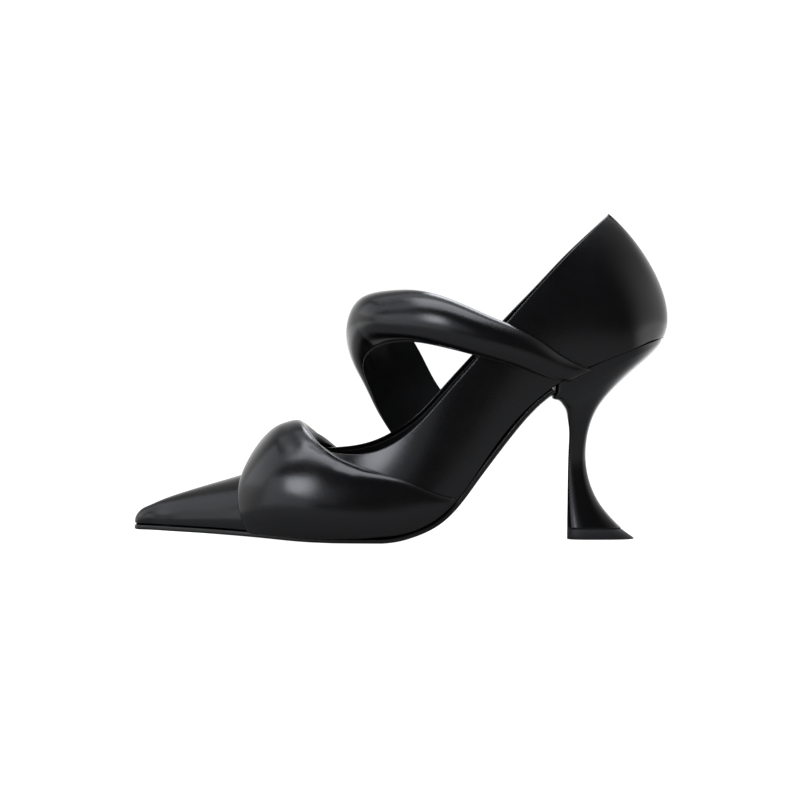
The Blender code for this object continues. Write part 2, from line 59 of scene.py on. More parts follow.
# Sections of the last from the toe to the back of the heel.
# foot: x on the sole line; lat, med: feather edge each side; out, up: how far the flank stands
# out and where it is fullest; crown_x, crown_y, crown_z: ridge or top of the section;
# half: half width of the crown; back, drop: how the crown leans at toe and heel.
LAST = np.array((
    # foot     lat    med   out   up  crown_x crown_y crown_z half back drop
    (-122.5,   7.0,   7.0,  3.4, 0.30, -116.6,  7.0,   14.5,  0.0, -4.4, 1.0),
    (-121.2,   4.5,   9.4,  3.4, 0.30, -115.6,  6.9,   15.0,  1.8, -2.6, 0.6),
    (-117.4,   3.0,  10.6,  3.6, 0.32, -112.6,  6.7,   16.4,  3.4, -0.8, 0.1),
    (-108.0,  -1.8,  13.9,  3.8, 0.34, -105.5,  6.2,   19.2,  5.4,  0.0, 0.0),
    (-94.0,   -8.8,  19.4,  4.5, 0.36,  -93.0,  5.2,   23.2,  8.2,  0.0, 0.0),
    (-74.0,  -18.2,  26.2,  6.0, 0.38,  -75.5,  3.8,   28.4, 12.5,  0.0, 0.0),
    (-50.0,  -27.0,  31.0,  7.5, 0.38,  -57.0,  2.2,   34.2, 17.0,  0.0, 0.0),
    (-25.0,  -32.0,  32.8,  8.0, 0.36,  -42.0,  0.8,   41.5, 17.5,  0.0, 0.0),
    (0.0,    -33.0,  30.0,  5.5, 0.34,  -29.0,  0.0,   60.0, 15.5,  0.0, 0.0),
    (20.0,   -30.0,  26.5,  7.8, 0.33,  -16.6,  0.0,   81.0, 19.0,  0.0, 0.0),
    (40.0,   -25.8,  22.8,  8.8, 0.33,   -1.5,  0.0,  100.0, 24.0,  0.0, 0.0),
    (60.0,   -22.6,  21.2,  8.0, 0.33,   18.0,  0.0,  119.0, 25.5,  0.0, 0.0),
    (80.0,   -22.0,  21.8,  6.2, 0.34,   44.0,  0.0,  138.0, 25.0,  1.0, 0.5),
    (95.0,   -22.4,  22.4,  5.0, 0.34,   66.0,  0.0,  150.0, 21.5,  4.0, 2.0),
    (106.5,  -19.8,  19.8,  7.6, 0.32,   82.0,  0.0,  152.5, 15.0, 10.0, 7.0),
    (114.7,  -13.4,  13.4, 11.8, 0.30,   91.0,  0.0,  151.0,  8.0, 14.0, 11.0),
    (120.2,   -6.8,   6.8, 13.9, 0.28,   95.0,  0.0,  149.4,  3.6, 15.0, 12.4),
    (122.0,    0.0,   0.0, 14.4, 0.28,   96.2,  0.0,  148.9,  0.0, 15.3, 12.7),
))
SOLE_THICK = 2.2
FEATHER_LIFT = 2.5
# Points of a finely divided line, step for slopes round the feather edge, and merging distance
FINE = 900
SLOPE_STEP = 0.05
MERGE_WITHIN = 0.004


def spline(knots, values, at, closed=False):
    """Cubic spline: each stretch blends its end values a and b by their shares, plus the bend there
    times (share cubed - share), with the bends solved so that the slope is continuous."""
    knots = np.asarray(knots, float)
    values = np.asarray(values, float)
    count = len(values)
    step = np.diff(knots)
    system = np.zeros((count, count))
    right = np.zeros(values.shape)
    for i in range(count):
        if not closed and i in (0, count - 1):
            system[i, i] = 1.0
            continue
        before, after = (i - 1) % count, (i + 1) % count
        system[i, before] += step[i - 1] / 6
        system[i, i] += (step[i - 1] + step[i]) / 3
        system[i, after] += step[i] / 6
        right[i] = (values[after] - values[i]) / step[i] - (values[i] - values[before]) / step[i - 1]
    bend = np.linalg.solve(system, right)
    at = np.asarray(at, float)
    low = np.clip(np.searchsorted(knots, at, side="right") - 1, 0, len(step) - 1)
    high = (low + 1) % count
    span = step[low]
    b = (at - knots[low]) / span
    shape = at.shape + (1,) * (values.ndim - 1)
    b, span = b.reshape(shape), span.reshape(shape)
    a = 1 - b
    curve = ((a**3 - a) * bend[low] + (b**3 - b) * bend[high]) * span**2 / 6
    return a * values[low] + b * values[high] + curve


SOLE_X = np.linspace(SOLE_LINE[0][0], SOLE_LINE[-1][0], FINE)
SOLE_Z = np.maximum(spline(*np.transpose(SOLE_LINE), SOLE_X), 0.0)
SOLE_SLOPE = np.arctan(np.gradient(SOLE_Z, SOLE_X))


def above_sole(foot, lift):
    """Point x, z at a distance above the sole line: the line's point plus lift times its normal."""
    slope = np.interp(foot, SOLE_X, SOLE_SLOPE)
    return foot - lift * np.sin(slope), np.interp(foot, SOLE_X, SOLE_Z) + lift * np.cos(slope)


def around(lateral, medial):
    """Rows of the outer side, toe to heel, then rows of the inner side back to the toe."""
    return np.concatenate([lateral, medial[-2:0:-1]])


def last_levels():
    """Knots round the shoe and the four lines that shape it: the feather edge, a flank line that
    stands out of it, a shoulder line half a crown's width from the ridge, and the ridge."""
    foot, lat, med, out, up = LAST[:, :5].T
    foot_x, foot_z = above_sole(foot, FEATHER_LIFT)
    feather = around(np.stack([foot_x, lat, foot_z], 1), np.stack([foot_x, med, foot_z], 1))
    steps = np.hypot(np.hypot(np.diff(foot), np.diff((med - lat) / 2)), np.diff(foot_z))
    half_way = np.concatenate([[0], np.cumsum(steps)])
    knots = np.concatenate([half_way, 2 * half_way[-1] - half_way[-2::-1]])
    tangent = spline(knots, feather, knots[:-1] + SLOPE_STEP, closed=True) - feather
    outward = np.stack([tangent[:, 1], -tangent[:, 0], 0 * tangent[:, 0]], 1)
    outward /= np.linalg.norm(outward, axis=1, keepdims=True)
    crown_side = LAST[:, 5:8]
    lean = LAST[:, [9, 8, 10]] * (1, -1, -1)
    crown = around(crown_side, crown_side)
    shoulder = around(crown_side + lean, crown_side + lean * (1, -1, 1))
    flank_out, flank_up = around(out, out)[:, None], around(up, up)[:, None]
    flank = feather + (crown - feather) * (1, 0, 1) * flank_up + outward * flank_out
    return knots, (feather, flank, shoulder, crown)


KNOTS, LEVELS = last_levels()
HALF_WAY = KNOTS[len(LAST) - 1]


def last_rib(turn, height):
    """Point on the last: turn is the way round the feather edge, and height runs 0 to 1 up a cubic
    Bezier curve from feather over flank and shoulder to crown."""
    turn, height = np.broadcast_arrays(np.asarray(turn, float), np.asarray(height, float))
    turn = np.mod(turn, 2 * HALF_WAY)
    v = height[..., None]
    feather, flank, shoulder, crown = (spline(KNOTS, level, turn, closed=True) for level in LEVELS)
    return (
        (1 - v) ** 3 * feather
        + 3 * (1 - v) ** 2 * v * flank
        + 3 * (1 - v) * v**2 * shoulder
        + v**3 * crown
    )


def foot_at(along):
    """x on the sole line of the section at a way from the toe."""
    return spline(KNOTS[: len(LAST)], LAST[:, 0], along)


def along_of(foot):
    """Way from the toe at which a section stands on the given x of the sole line."""
    fine = np.linspace(0, HALF_WAY, FINE)
    return np.interp(foot, foot_at(fine), fine)


def eased(start, end, count, share=1.0):
    """count + 1 values from start to end, drawn closer at both ends by a share of a cosine."""
    t = np.linspace(0, 1, count + 1)
    return start + (end - start) * ((1 - share) * t + share * (1 - np.cos(np.pi * t)) / 2)


def smooth(low, high, at):
    """0 below low, 1 above high, and a smooth step t squared times (3 - 2t) between them."""
    t = np.clip((at - low) / (high - low), 0, 1)
    return t * t * (3 - 2 * t)


def sole_loop(along, share, edge, lift):
    """Points of a plate under the foot: rows by section, columns round its edge. share goes from the
    outer to the inner feather edge, edge moves them outwards, lift is the height over the sole line."""
    ahead = np.clip(along + SLOPE_STEP, 0, HALF_WAY)
    behind = np.clip(along - SLOPE_STEP, 0, HALF_WAY)
    sides = []
    for sign, first, last, here in (
        (-1, behind, ahead, along),
        (1, 2 * HALF_WAY - behind, 2 * HALF_WAY - ahead, 2 * HALF_WAY - along),
    ):
        run = last_rib(last, 0.0) - last_rib(first, 0.0)
        outward = np.stack([-run[:, 1] * sign, run[:, 0] * sign], 1)
        outward /= np.linalg.norm(outward, axis=1, keepdims=True)
        outward[along <= 0] = (-1, 0)
        outward[along >= HALF_WAY] = (1, 0)
        x = foot_at(along)[:, None] + outward[:, :1] * edge
        y = last_rib(here, 0.0)[:, 1:2] + outward[:, 1:] * edge
        sides.append((x, y))
    plan_x = sides[0][0] * (1 - share) + sides[1][0] * share
    plan_y = sides[0][1] * (1 - share) + sides[1][1] * share
    x, z = above_sole(plan_x, lift)
    return np.stack([x, plan_y, z], -1)


def plate_edge(thick, radius, across, arc=5):
    """Loop round a thin plate: share across, inset from the edge and lift, with quarter circles of
    the given radius at its four corners."""
    turn = np.linspace(0, np.pi / 2, arc + 1)
    inset, rise = radius * (1 - np.sin(turn)), radius * (1 - np.cos(turn))
    low_share = np.linspace(0, 1, across + 1)[1:-1]
    share = np.concatenate([0 * turn, 0 * turn, low_share, 0 * turn + 1, 0 * turn + 1, low_share[::-1]])
    flat = np.full(low_share.shape, radius)
    edge = np.concatenate([inset, inset[::-1], flat, inset, inset[::-1], flat])
    lift = np.concatenate(
        [rise, thick - rise[::-1], 0 * flat + thick, thick - rise, rise[::-1], 0 * flat]
    )
    return share, edge, lift


def add_piece(name, grid, material, close_rows=False, close_columns=False, keep=None):
    """Object from a grid of points in millimetres: a face for each cell, with rows or columns that may
    close on themselves; cells not marked in keep are left out, and doubled points are merged."""
    rows, columns = grid.shape[:2]
    index = np.arange(rows * columns).reshape(rows, columns)
    if close_rows:
        index = np.concatenate([index, index[:1]])
    if close_columns:
        index = np.concatenate([index, index[:, :1]], axis=1)
    cells = np.stack([index[:-1, :-1], index[:-1, 1:], index[1:, 1:], index[1:, :-1]], -1)
    cells = cells.reshape(-1, 4) if keep is None else cells[keep]
    mesh = bpy.data.meshes.new(name)
    mesh.from_pydata((grid.reshape(-1, 3) * MM).tolist(), [], cells.tolist())
    shape = bmesh.new()
    shape.from_mesh(mesh)
    bmesh.ops.remove_doubles(shape, verts=shape.verts, dist=MERGE_WITHIN * MM)
    loose = [vertex for vertex in shape.verts if not vertex.link_faces]
    bmesh.ops.delete(shape, geom=loose, context="VERTS")
    bmesh.ops.recalc_face_normals(shape, faces=shape.faces)
    shape.to_mesh(mesh)
    shape.free()
    mesh.shade_smooth()
    mesh.materials.append(material)
    piece = bpy.data.objects.new(name, mesh)
    bpy.context.scene.collection.objects.link(piece)
    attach(piece, "root")
    return piece


# How far the cells are bent, in metres; width of a crease and height of the pores, as shares; and
# the part of the slow noise that is spread from 0 to 1
GRAIN_BEND = 0.0005
GRAIN_CREASE = 0.22
GRAIN_PORES = 0.45
GRAIN_PATCH = (0.3, 0.7)


def leather_grain():
    """Shader group of smooth leather: Height is a net of fine creases (distance to the edges of bent
    cells) with pores from a fine noise, and Patch is a slow noise from 0 to 1 for tone and gloss."""
    group = bpy.data.node_groups.new("leather grain", "ShaderNodeTree")
    sockets = group.interface
    sockets.new_socket("Cells per metre", in_out="INPUT", socket_type="NodeSocketFloat")
    sockets.new_socket("Patches per metre", in_out="INPUT", socket_type="NodeSocketFloat")
    sockets.new_socket("Height", in_out="OUTPUT", socket_type="NodeSocketFloat")
    sockets.new_socket("Patch", in_out="OUTPUT", socket_type="NodeSocketFloat")
    add, link = group.nodes.new, group.links.new
    given, result = add("NodeGroupInput"), add("NodeGroupOutput")
    place = add("ShaderNodeTexCoord")
    bend = add("ShaderNodeTexNoise")
    bend.inputs["Detail"].default_value = 2.0
    link(place.outputs["Object"], bend.inputs["Vector"])
    link(given.outputs["Cells per metre"], bend.inputs["Scale"])
    shift = add("ShaderNodeVectorMath")
    shift.operation = "MULTIPLY_ADD"
    shift.inputs[1].default_value = (GRAIN_BEND, GRAIN_BEND, GRAIN_BEND)
    link(bend.outputs["Color"], shift.inputs[0])
    link(place.outputs["Object"], shift.inputs[2])
    cells = add("ShaderNodeTexVoronoi")
    cells.feature = "DISTANCE_TO_EDGE"
    link(shift.outputs["Vector"], cells.inputs["Vector"])
    link(given.outputs["Cells per metre"], cells.inputs["Scale"])
    crease = add("ShaderNodeMapRange")
    crease.interpolation_type = "SMOOTHSTEP"
    crease.inputs["From Max"].default_value = GRAIN_CREASE
    link(cells.outputs["Distance"], crease.inputs["Value"])
    pores = add("ShaderNodeMath")
    pores.operation = "MULTIPLY_ADD"
    pores.inputs[1].default_value = GRAIN_PORES
    link(bend.outputs["Fac"], pores.inputs[0])
    link(crease.outputs["Result"], pores.inputs[2])
    link(pores.outputs["Value"], result.inputs["Height"])
    slow = add("ShaderNodeTexNoise")
    slow.inputs["Detail"].default_value = 4.0
    slow.inputs["Roughness"].default_value = 0.55
    link(place.outputs["Object"], slow.inputs["Vector"])
    link(given.outputs["Patches per metre"], slow.inputs["Scale"])
    spread = add("ShaderNodeMapRange")
    spread.inputs["From Min"].default_value = GRAIN_PATCH[0]
    spread.inputs["From Max"].default_value = GRAIN_PATCH[1]
    link(slow.outputs["Fac"], spread.inputs["Value"])
    link(spread.outputs["Result"], result.inputs["Patch"])
    return group


GRAIN = leather_grain()


def leather(name, tones, roughness, cells, patches, depth):
    """Principled leather: the two tones and the two roughness values are mixed by the grain group's
    Patch, and its Height goes through a Bump node whose depth is in millimetres."""
    material = bpy.data.materials.new(name)
    material.use_nodes = True
    nodes, link = material.node_tree.nodes, material.node_tree.links.new
    shader = nodes["Principled BSDF"]
    grain = nodes.new("ShaderNodeGroup")
    grain.node_tree = GRAIN
    grain.inputs["Cells per metre"].default_value = cells
    grain.inputs["Patches per metre"].default_value = patches
    tone = nodes.new("ShaderNodeMix")
    tone.data_type = "RGBA"
    tone.inputs["A"].default_value = (*tones[0], 1)
    tone.inputs["B"].default_value = (*tones[1], 1)
    link(grain.outputs["Patch"], tone.inputs["Factor"])
    link(tone.outputs["Result"], shader.inputs["Base Color"])
    gloss = nodes.new("ShaderNodeMapRange")
    gloss.inputs["To Min"].default_value = roughness[0]
    gloss.inputs["To Max"].default_value = roughness[1]
    link(grain.outputs["Patch"], gloss.inputs["Value"])
    link(gloss.outputs["Result"], shader.inputs["Roughness"])
    bump = nodes.new("ShaderNodeBump")
    bump.inputs["Distance"].default_value = depth * MM
    link(grain.outputs["Height"], bump.inputs["Height"])
    link(bump.outputs["Normal"], shader.inputs["Normal"])
    return material


LINING_LEATHER = leather(
    "lining leather", ((0.0018, 0.0018, 0.0022), (0.003, 0.003, 0.0035)), (0.5, 0.62), 1500, 90, 0.02
)
INSOLE_THICK = 1.8
INSOLE_INSET = 2.2
INSOLE_ROUND = 0.7
INSOLE_DISH = 0.5
INSOLE_GAP = 0.1
insole_along = eased(0, HALF_WAY, 150, 0.5)
insole_share, insole_edge, insole_lift = plate_edge(INSOLE_THICK, INSOLE_ROUND, 30)
# The upper face of the board is slightly dished along its middle
insole_dish = INSOLE_DISH * np.sin(np.pi * insole_share) * (insole_lift > INSOLE_THICK / 2)
insole_grid = sole_loop(
    insole_along,
    insole_share,
    -INSOLE_INSET - insole_edge,
    FEATHER_LIFT + INSOLE_GAP + insole_lift - insole_dish,
)
insole = add_piece("insole", insole_grid, LINING_LEATHER, close_columns=True)
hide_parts("insole")

# The upper and its lining
# One piece of smooth black leather pulled over the last and turned under at the feather edge. Its
# topline is folded over and glued, and a thin black lining leather starts just below the fold.

TOPLINE = np.array((
    # x    outer  inner
    (-42,  41.5,  41.5), (-36, 40.6, 41.2), (-29, 39.8, 41.2), (-20, 39.3, 42.0), (-12, 40.4, 44.0),
    (-2,   44.7,  48.8), (9, 53.5, 56.8), (21.5, 67.2, 70.2), (35, 82.4, 85.0), (48.5, 98.8, 100.2),
    (63,  115.2, 115.4), (78, 131.4, 131.4), (91, 143.9, 143.9), (96.2, 148.9, 148.9),
))
# Ways behind the throat over which the drop of a line and the fold of the edge come in, the slack
# in telling columns from the throat, and the halvings in the search for the topline
DROP_FADE = 12
FOLD_FADE = 10
THROAT_SLACK = 0.05
HALVINGS = 40
crown_way = np.linspace(0, HALF_WAY, FINE)
THROAT = np.interp(TOPLINE[0, 0], last_rib(crown_way, 1.0)[:, 0], crown_way)


def topline_height(turn, drop=0.0):
    """Height up each rib at which the topline, or a line a drop below it, cuts the rib, by bisection;
    1 ahead of the throat, where the leather is closed over the ridge."""
    inner = turn > HALF_WAY
    along = np.where(inner, 2 * HALF_WAY - turn, turn)
    fine = np.linspace(TOPLINE[0, 0], TOPLINE[-1, 0], FINE)
    outer_z, inner_z = spline(TOPLINE[:, 0], TOPLINE[:, 1:], fine).T
    low, high = np.zeros(turn.shape), np.ones(turn.shape)
    for _ in range(HALVINGS):
        middle = (low + high) / 2
        point = last_rib(turn, middle)
        inner_top, outer_top = (np.interp(point[:, 0], fine, z) for z in (inner_z, outer_z))
        top = np.where(inner, inner_top, outer_top)
        above = point[:, 2] > top
        high, low = np.where(above, middle, high), np.where(above, low, middle)
    reach = np.linalg.norm(last_rib(turn, 1.0) - last_rib(turn, 0.0), axis=1)
    fade = smooth(THROAT, THROAT + DROP_FADE, along)
    return np.where(along < THROAT + THROAT_SLACK, 1.0, low - drop * fade / reach)


def grid_normal(grid, close_columns=False):
    """Unit normals of a grid: cross product of its column and row differences."""
    if close_columns:
        d_column = np.roll(grid, -1, axis=1) - np.roll(grid, 1, axis=1)
    else:
        d_column = np.gradient(grid, axis=1)
    normal = np.cross(d_column, np.gradient(grid, axis=0))
    return normal / np.linalg.norm(normal, axis=-1, keepdims=True)


def lasted_shell(turn, top, depths, under, rows, margin):
    """Closed shell on the last. Rows run from the margin under the foot up the outer face, round a
    half-circle fold at the topline, down the inner face, and close below. depths are the two faces'
    distances inside the last; under is the radius of the lower edge. Returns grid and faces kept."""
    rise = eased(0, 1, rows[0])[:, None]
    skin = last_rib(turn + 0 * rise, rise * top)
    normal = grid_normal(skin, close_columns=True)
    step = np.linalg.norm(np.diff(skin, axis=0), axis=-1)
    height = np.concatenate([np.zeros((1, len(turn))), np.cumsum(step, axis=0)])
    short = np.clip(1 - height / under, 0, 1)
    turned = under * (1 - np.sqrt(1 - short**2))
    outer = skin - normal * (depths[0] + turned)[..., None]
    inner = (skin - normal * (depths[1] + 0 * height)[..., None])[::-1]
    along = np.minimum(turn, 2 * HALF_WAY - turn)
    up = skin[-1] - skin[-2]
    up /= np.linalg.norm(up, axis=-1, keepdims=True)
    angle = np.linspace(0, np.pi, rows[1] + 1)[1:-1, None, None]
    middle, radius = (depths[0] + depths[1]) / 2, (depths[1] - depths[0]) / 2
    swell = smooth(THROAT, THROAT + FOLD_FADE, along)[:, None]
    fold = skin[-1] - normal[-1] * (middle - radius * np.cos(angle)) + up * radius * swell * np.sin(angle)
    grid = np.concatenate([margin[None], outer, fold, inner])
    # At the back the two sides meet in the middle, and neither goes through the other
    back = (along > HALF_WAY - BACK_MEETS)[None, :]
    side = np.where(turn > HALF_WAY, 1.0, -1.0)
    grid[..., 1] = np.where(back, side * np.maximum(side * grid[..., 1], 0), grid[..., 1])
    keep = np.ones(grid.shape[:2], bool)
    closed_over = along < THROAT - THROAT_SLACK
    open_toe = closed_over | np.roll(closed_over, -1)
    keep[len(outer) : len(outer) + len(fold) + 1, open_toe] = False
    return grid, keep


def lasting_margin(along, wide, lift):
    """Points under the foot, as far in from the feather edge as wide, on the outer side from toe to
    heel and on the inner side back to the toe."""
    rows = sole_loop(along, np.array((0.0, 1.0)), -wide[:, None], lift)
    return around(rows[:, 0], rows[:, 1])


UPPER_LEATHER = leather(
    "smooth upper leather", ((0.0025, 0.0025, 0.003), (0.004, 0.004, 0.0045)), (0.16, 0.21), 1400, 60, 0.008
)
LEATHER_WALL = 1.0
BACK_MEETS = 12.0
LINING_WALL = 0.5
LINING_DROP = 1.4
LINING_GAP = 0.05
LINING_ROUND = 0.3
LINING_MARGIN = 0.8
along_columns = np.concatenate([eased(0, THROAT, 110, 0.6)[:-1], eased(THROAT, HALF_WAY, 150, 0.6)])
turn_columns = np.concatenate([along_columns, 2 * HALF_WAY - along_columns[-2:0:-1]])
# The lower edge is turned in along the sole and more tightly over the heel seat, and a margin of the
# leather lies between insole and sole
LASTING_MARGIN = 5.0
MARGIN_SHARE = 0.3
MARGIN_GAP = 0.02
TURNED_ROUND, SEAT_TIGHTER = 0.8, 0.3
SEAT_STRETCH = (70, 112)
turn_foot = foot_at(np.minimum(turn_columns, 2 * HALF_WAY - turn_columns))
turned_under = TURNED_ROUND - SEAT_TIGHTER * smooth(*SEAT_STRETCH, turn_foot)
foot_width = last_rib(2 * HALF_WAY - along_columns, 0.0)[:, 1] - last_rib(along_columns, 0.0)[:, 1]
margin_wide = np.minimum(LASTING_MARGIN, MARGIN_SHARE * foot_width)
upper_grid, upper_keep = lasted_shell(
    turn_columns,
    topline_height(turn_columns),
    (0.0, LEATHER_WALL),
    turned_under,
    (56, 10),
    lasting_margin(along_columns, margin_wide, SOLE_THICK + MARGIN_GAP),
)
upper = add_piece("upper", upper_grid, UPPER_LEATHER, True, True, upper_keep)
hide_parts("upper")
lining_depths = (LEATHER_WALL + LINING_GAP, LEATHER_WALL + LINING_GAP + LINING_WALL)
lining_grid, lining_keep = lasted_shell(
    turn_columns,
    topline_height(turn_columns, LINING_DROP),
    lining_depths,
    0 * turned_under + LINING_ROUND,
    (40, 6),
    lasting_margin(along_columns, LINING_MARGIN * margin_wide, FEATHER_LIFT),
)
lining = add_piece("quarter_lining", lining_grid, LINING_LEATHER, True, True, lining_keep)

# The padded vamp band
# A wide band of soft black leather, stuffed with foam, laid over the vamp from one feather edge over
# the ridge to the other. Its front edge is a fold, and a thin rim stands up behind its blunt rear.

# wrap: 0 at the outer feather edge, 1 on the ridge, 2 at the inner feather edge; front, rear:
# sections (by foot x) of its edges; puff: thickness of the padding; peak: where it is thickest, from
# front to rear; roll: how blunt its rear edge is; rim: height of the folded edge along its rear
VAMP_BAND = np.array((
    # wrap  front   rear  puff  peak  roll  rim
    (0.03,  -69.0,  27.0,  3.4, 0.45, 3.6,  0.0),
    (0.25,  -70.5,  14.0,  7.0, 0.45, 4.2,  0.0),
    (0.50,  -71.0,  -5.0, 11.4, 0.48, 4.8,  1.2),
    (0.75,  -69.2, -17.0, 16.2, 0.52, 4.8,  4.2),
    (1.00,  -67.2, -24.0, 17.9, 0.55, 4.4,  7.4),
    (1.25,  -66.0, -15.0, 14.6, 0.54, 3.6,  5.2),
    (1.50,  -64.0,  -7.0, 10.2, 0.50, 3.2,  1.6),
    (1.75,  -63.0,  -1.0,  6.6, 0.45, 2.4,  0.2),
    (1.97,  -62.0,   4.0,  2.4, 0.45, 2.2,  0.0),
))
UPRIGHT_REACH = 0.55
FRONT_RIM = 0.54
REAR_BEND = 2.3
RIM_WIDE = 2.0
RIM_TROUGH = 1.4
RIM_FULL = 0.6
FRONT_FOLD = 1.7
FOLD_SHARE = 0.6
BAND_GAP = 0.06
# Creases in the stuffed leather: one below the top, two short ones that run out of the rear roll
BAND_CREASES = (
    # x0    z0     x1     z1   width depth
    (-52.5, 50.0, -48.0, 45.0,  4.2, 0.30),
    (-40.0, 44.0, -35.5, 41.0,  1.6, 0.25),
    (-27.5, 35.5, -21.0, 33.5,  1.8, 0.25),
)


# Steps along and over the last by which its slopes are taken
ALONG_STEP, WRAP_STEP = 0.2, 0.004


def last_wrap(along, wrap):
    """Point on the last: along is the way from the toe, wrap runs 0 to 2 over the crown."""
    along, wrap = np.broadcast_arrays(np.asarray(along, float), np.asarray(wrap, float))
    inner = wrap > 1
    return last_rib(np.where(inner, 2 * HALF_WAY - along, along), np.where(inner, 2 - wrap, wrap))


def last_normal(along, wrap):
    """Outward unit normal of the last: cross product of its slopes along and over the crown."""
    d_along = last_wrap(along + ALONG_STEP, wrap) - last_wrap(along - ALONG_STEP, wrap)
    low, high = np.clip(wrap - WRAP_STEP, 0, 2), np.clip(wrap + WRAP_STEP, 0, 2)
    normal = np.cross(d_along, last_wrap(along, high) - last_wrap(along, low))
    return normal / np.linalg.norm(normal, axis=-1, keepdims=True)


def rim_width(rim):
    """Width of the rear rim in millimetres: a smooth step up to its full width as the rim rises."""
    return RIM_WIDE * smooth(0, RIM_FULL, rim)


def band_height(share, length, puff, peak, roll, rim):
    """Height of the band from front to rear. The front edge is a fold, a quarter circle; on it the pad
    is a power of a sine up to its peak and a blunt fall behind it. Past a trough, the rear edge stands
    up as a half ellipse."""
    pad = np.minimum(share * length / (length - rim_width(rim)), 1)
    swell = np.sin(np.pi / 2 * np.clip(pad / peak, 0, 1)) ** FRONT_RIM
    rear = np.clip((pad - peak) / (1 - peak), 0, 1)
    fold = np.minimum(FRONT_FOLD, FOLD_SHARE * puff)
    turn = np.clip(1 - share * length / fold, 0, 1)
    front_height = fold * np.sqrt(1 - turn**2) + (puff - fold) * swell
    pad_height = np.where(pad < peak, front_height, (1 - rear**REAR_BEND) ** (1 / roll) * puff)
    across = 2 * (1 - share) * length / RIM_WIDE - 1
    fold_height = rim * np.sqrt(np.clip(1 - across**2, 0, 1))
    trough = np.maximum(rim - RIM_TROUGH, rim / 2) * (across > 0)
    return np.maximum(np.maximum(pad_height, fold_height), trough)


def crease_depth(points, creases):
    """Depth of soft troughs at points seen from the side: for each crease, its depth times a Gaussian of
    the distance, in widths, from the straight line between its two ends."""
    depth_here = np.zeros(points.shape[:-1])
    for x0, z0, x1, z1, width, depth in creases:
        x, z = points[..., 0] - x0, points[..., 2] - z0
        run_x, run_z = x1 - x0, z1 - z0
        share = np.clip((x * run_x + z * run_z) / (run_x**2 + run_z**2), 0, 1)
        away = np.hypot(x - share * run_x, z - share * run_z)
        depth_here += depth * np.exp(-((away / width) ** 2))
    return depth_here


def closed_pad(over, under):
    """Closed pad from its outer and inner face: rows run over one and back under the other, and the
    first and last columns are repeated on the inner face to close the ends."""
    loop = np.concatenate([over, under[-2:0:-1]])
    ends = np.concatenate([under, under[-2:0:-1]])
    return np.concatenate([ends[:, :1], loop, ends[:, -1:]], axis=1)


PADDED_LEATHER = leather(
    "soft padded leather", ((0.0025, 0.0025, 0.003), (0.004, 0.004, 0.0045)), (0.16, 0.21), 1300, 55, 0.008
)
band_wrap = np.linspace(VAMP_BAND[0, 0], VAMP_BAND[-1, 0], 221)
band_front, band_rear, *band_sizes = spline(VAMP_BAND[:, 0], VAMP_BAND[:, 1:], band_wrap).T
band_sizes[-1] = np.maximum(band_sizes[-1], 0)
pad_share, rim_share = eased(0, 1, 110)[:, None], eased(0, 1, 16)[1:, None]
pad_line = last_wrap(along_of(band_front + (band_rear - band_front) * pad_share), band_wrap)
band_length = np.linalg.norm(np.diff(pad_line, axis=0), axis=-1).sum(axis=0)
# Rows lie closer in the rim, and one of them follows its foot
rim_strip = rim_width(band_sizes[-1]) / band_length
band_share = np.concatenate([pad_share * (1 - rim_strip), 1 - rim_strip * (1 - rim_share)])
band_along = along_of(band_front + (band_rear - band_front) * band_share)
band_wrap = np.broadcast_to(band_wrap, band_along.shape)
band_surface, band_normal = last_wrap(band_along, band_wrap), last_normal(band_along, band_wrap)
upright = 1 - smooth(0, UPRIGHT_REACH, np.abs(band_wrap - 1))[..., None]
swell_way = band_normal * (1 - upright) + np.array((0, 0, 1)) * upright
swell_way /= np.linalg.norm(swell_way, axis=-1, keepdims=True)
band_lift = band_height(band_share, band_length, *band_sizes)
band_under = band_surface + band_normal * BAND_GAP
band_over = band_under + swell_way * band_lift[..., None]
band_over -= swell_way * np.minimum(crease_depth(band_over, BAND_CREASES), band_lift)[..., None]
vamp_band = add_piece("vamp_band", closed_pad(band_over, band_under), PADDED_LEATHER, close_rows=True)
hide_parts("vamp_band")

# The padded instep strap
# A stuffed tube of the same leather, flat on its lined inner face. It starts narrow in the outer heel
# seam, rises over the instep and goes down outside the inner quarter to the waist.

INSTEP_STRAP = np.array((
    # x      y      z    width  puff
    (79.5, -24.0,  76.0,  8.5,  4.0),
    (68.5, -25.5,  80.2, 12.5,  6.4),
    (57.7, -27.0,  85.2, 15.5,  8.2),
    (40.0, -27.5,  92.3, 18.0,  8.9),
    (19.0, -20.0,  98.3, 21.5, 10.0),
    (3.2,  -10.0, 100.4, 23.5, 12.8),
    (-6.2,   0.0,  98.2, 24.5, 19.0),
    (-7.2,  10.0,  90.2, 26.5, 18.0),
    (-3.5,  20.0,  80.0, 28.0, 13.8),
    (3.5,   26.0,  66.0, 29.0,  9.6),
    (12.0,  28.5,  52.0, 30.0,  8.0),
    (20.5,  29.0,  38.0, 30.0,  5.5),
    (28.5,  27.0,  25.0, 29.0,  2.2),
))
# The stuffed tube goes round by this angle to each side before it meets the lined face
STRAP_ROUND = np.radians(106)
STRAP_GAP = 0.4
STRAP_LINING = 0.9
STRAP_LIP = 0.5
STRAP_TUCK = 18.0
STRAP_TURN = 4.5
STRAP_BELOW = 0.022
STRAP_LEAST = 0.5
# The wrap is kept inside these ends, and the length of a rib is taken from its first part
WRAP_ENDS = (0.01, 1.98)
RIB_PART = 0.1
# Stretch of sections in which the strap's middle line is looked for, and steps of that search
SEARCH_STRETCH = (-30, 112)
SEARCH_STEPS = (220, 401)
LINING_SQUARE = 8
LINING_CREASED = 0.6
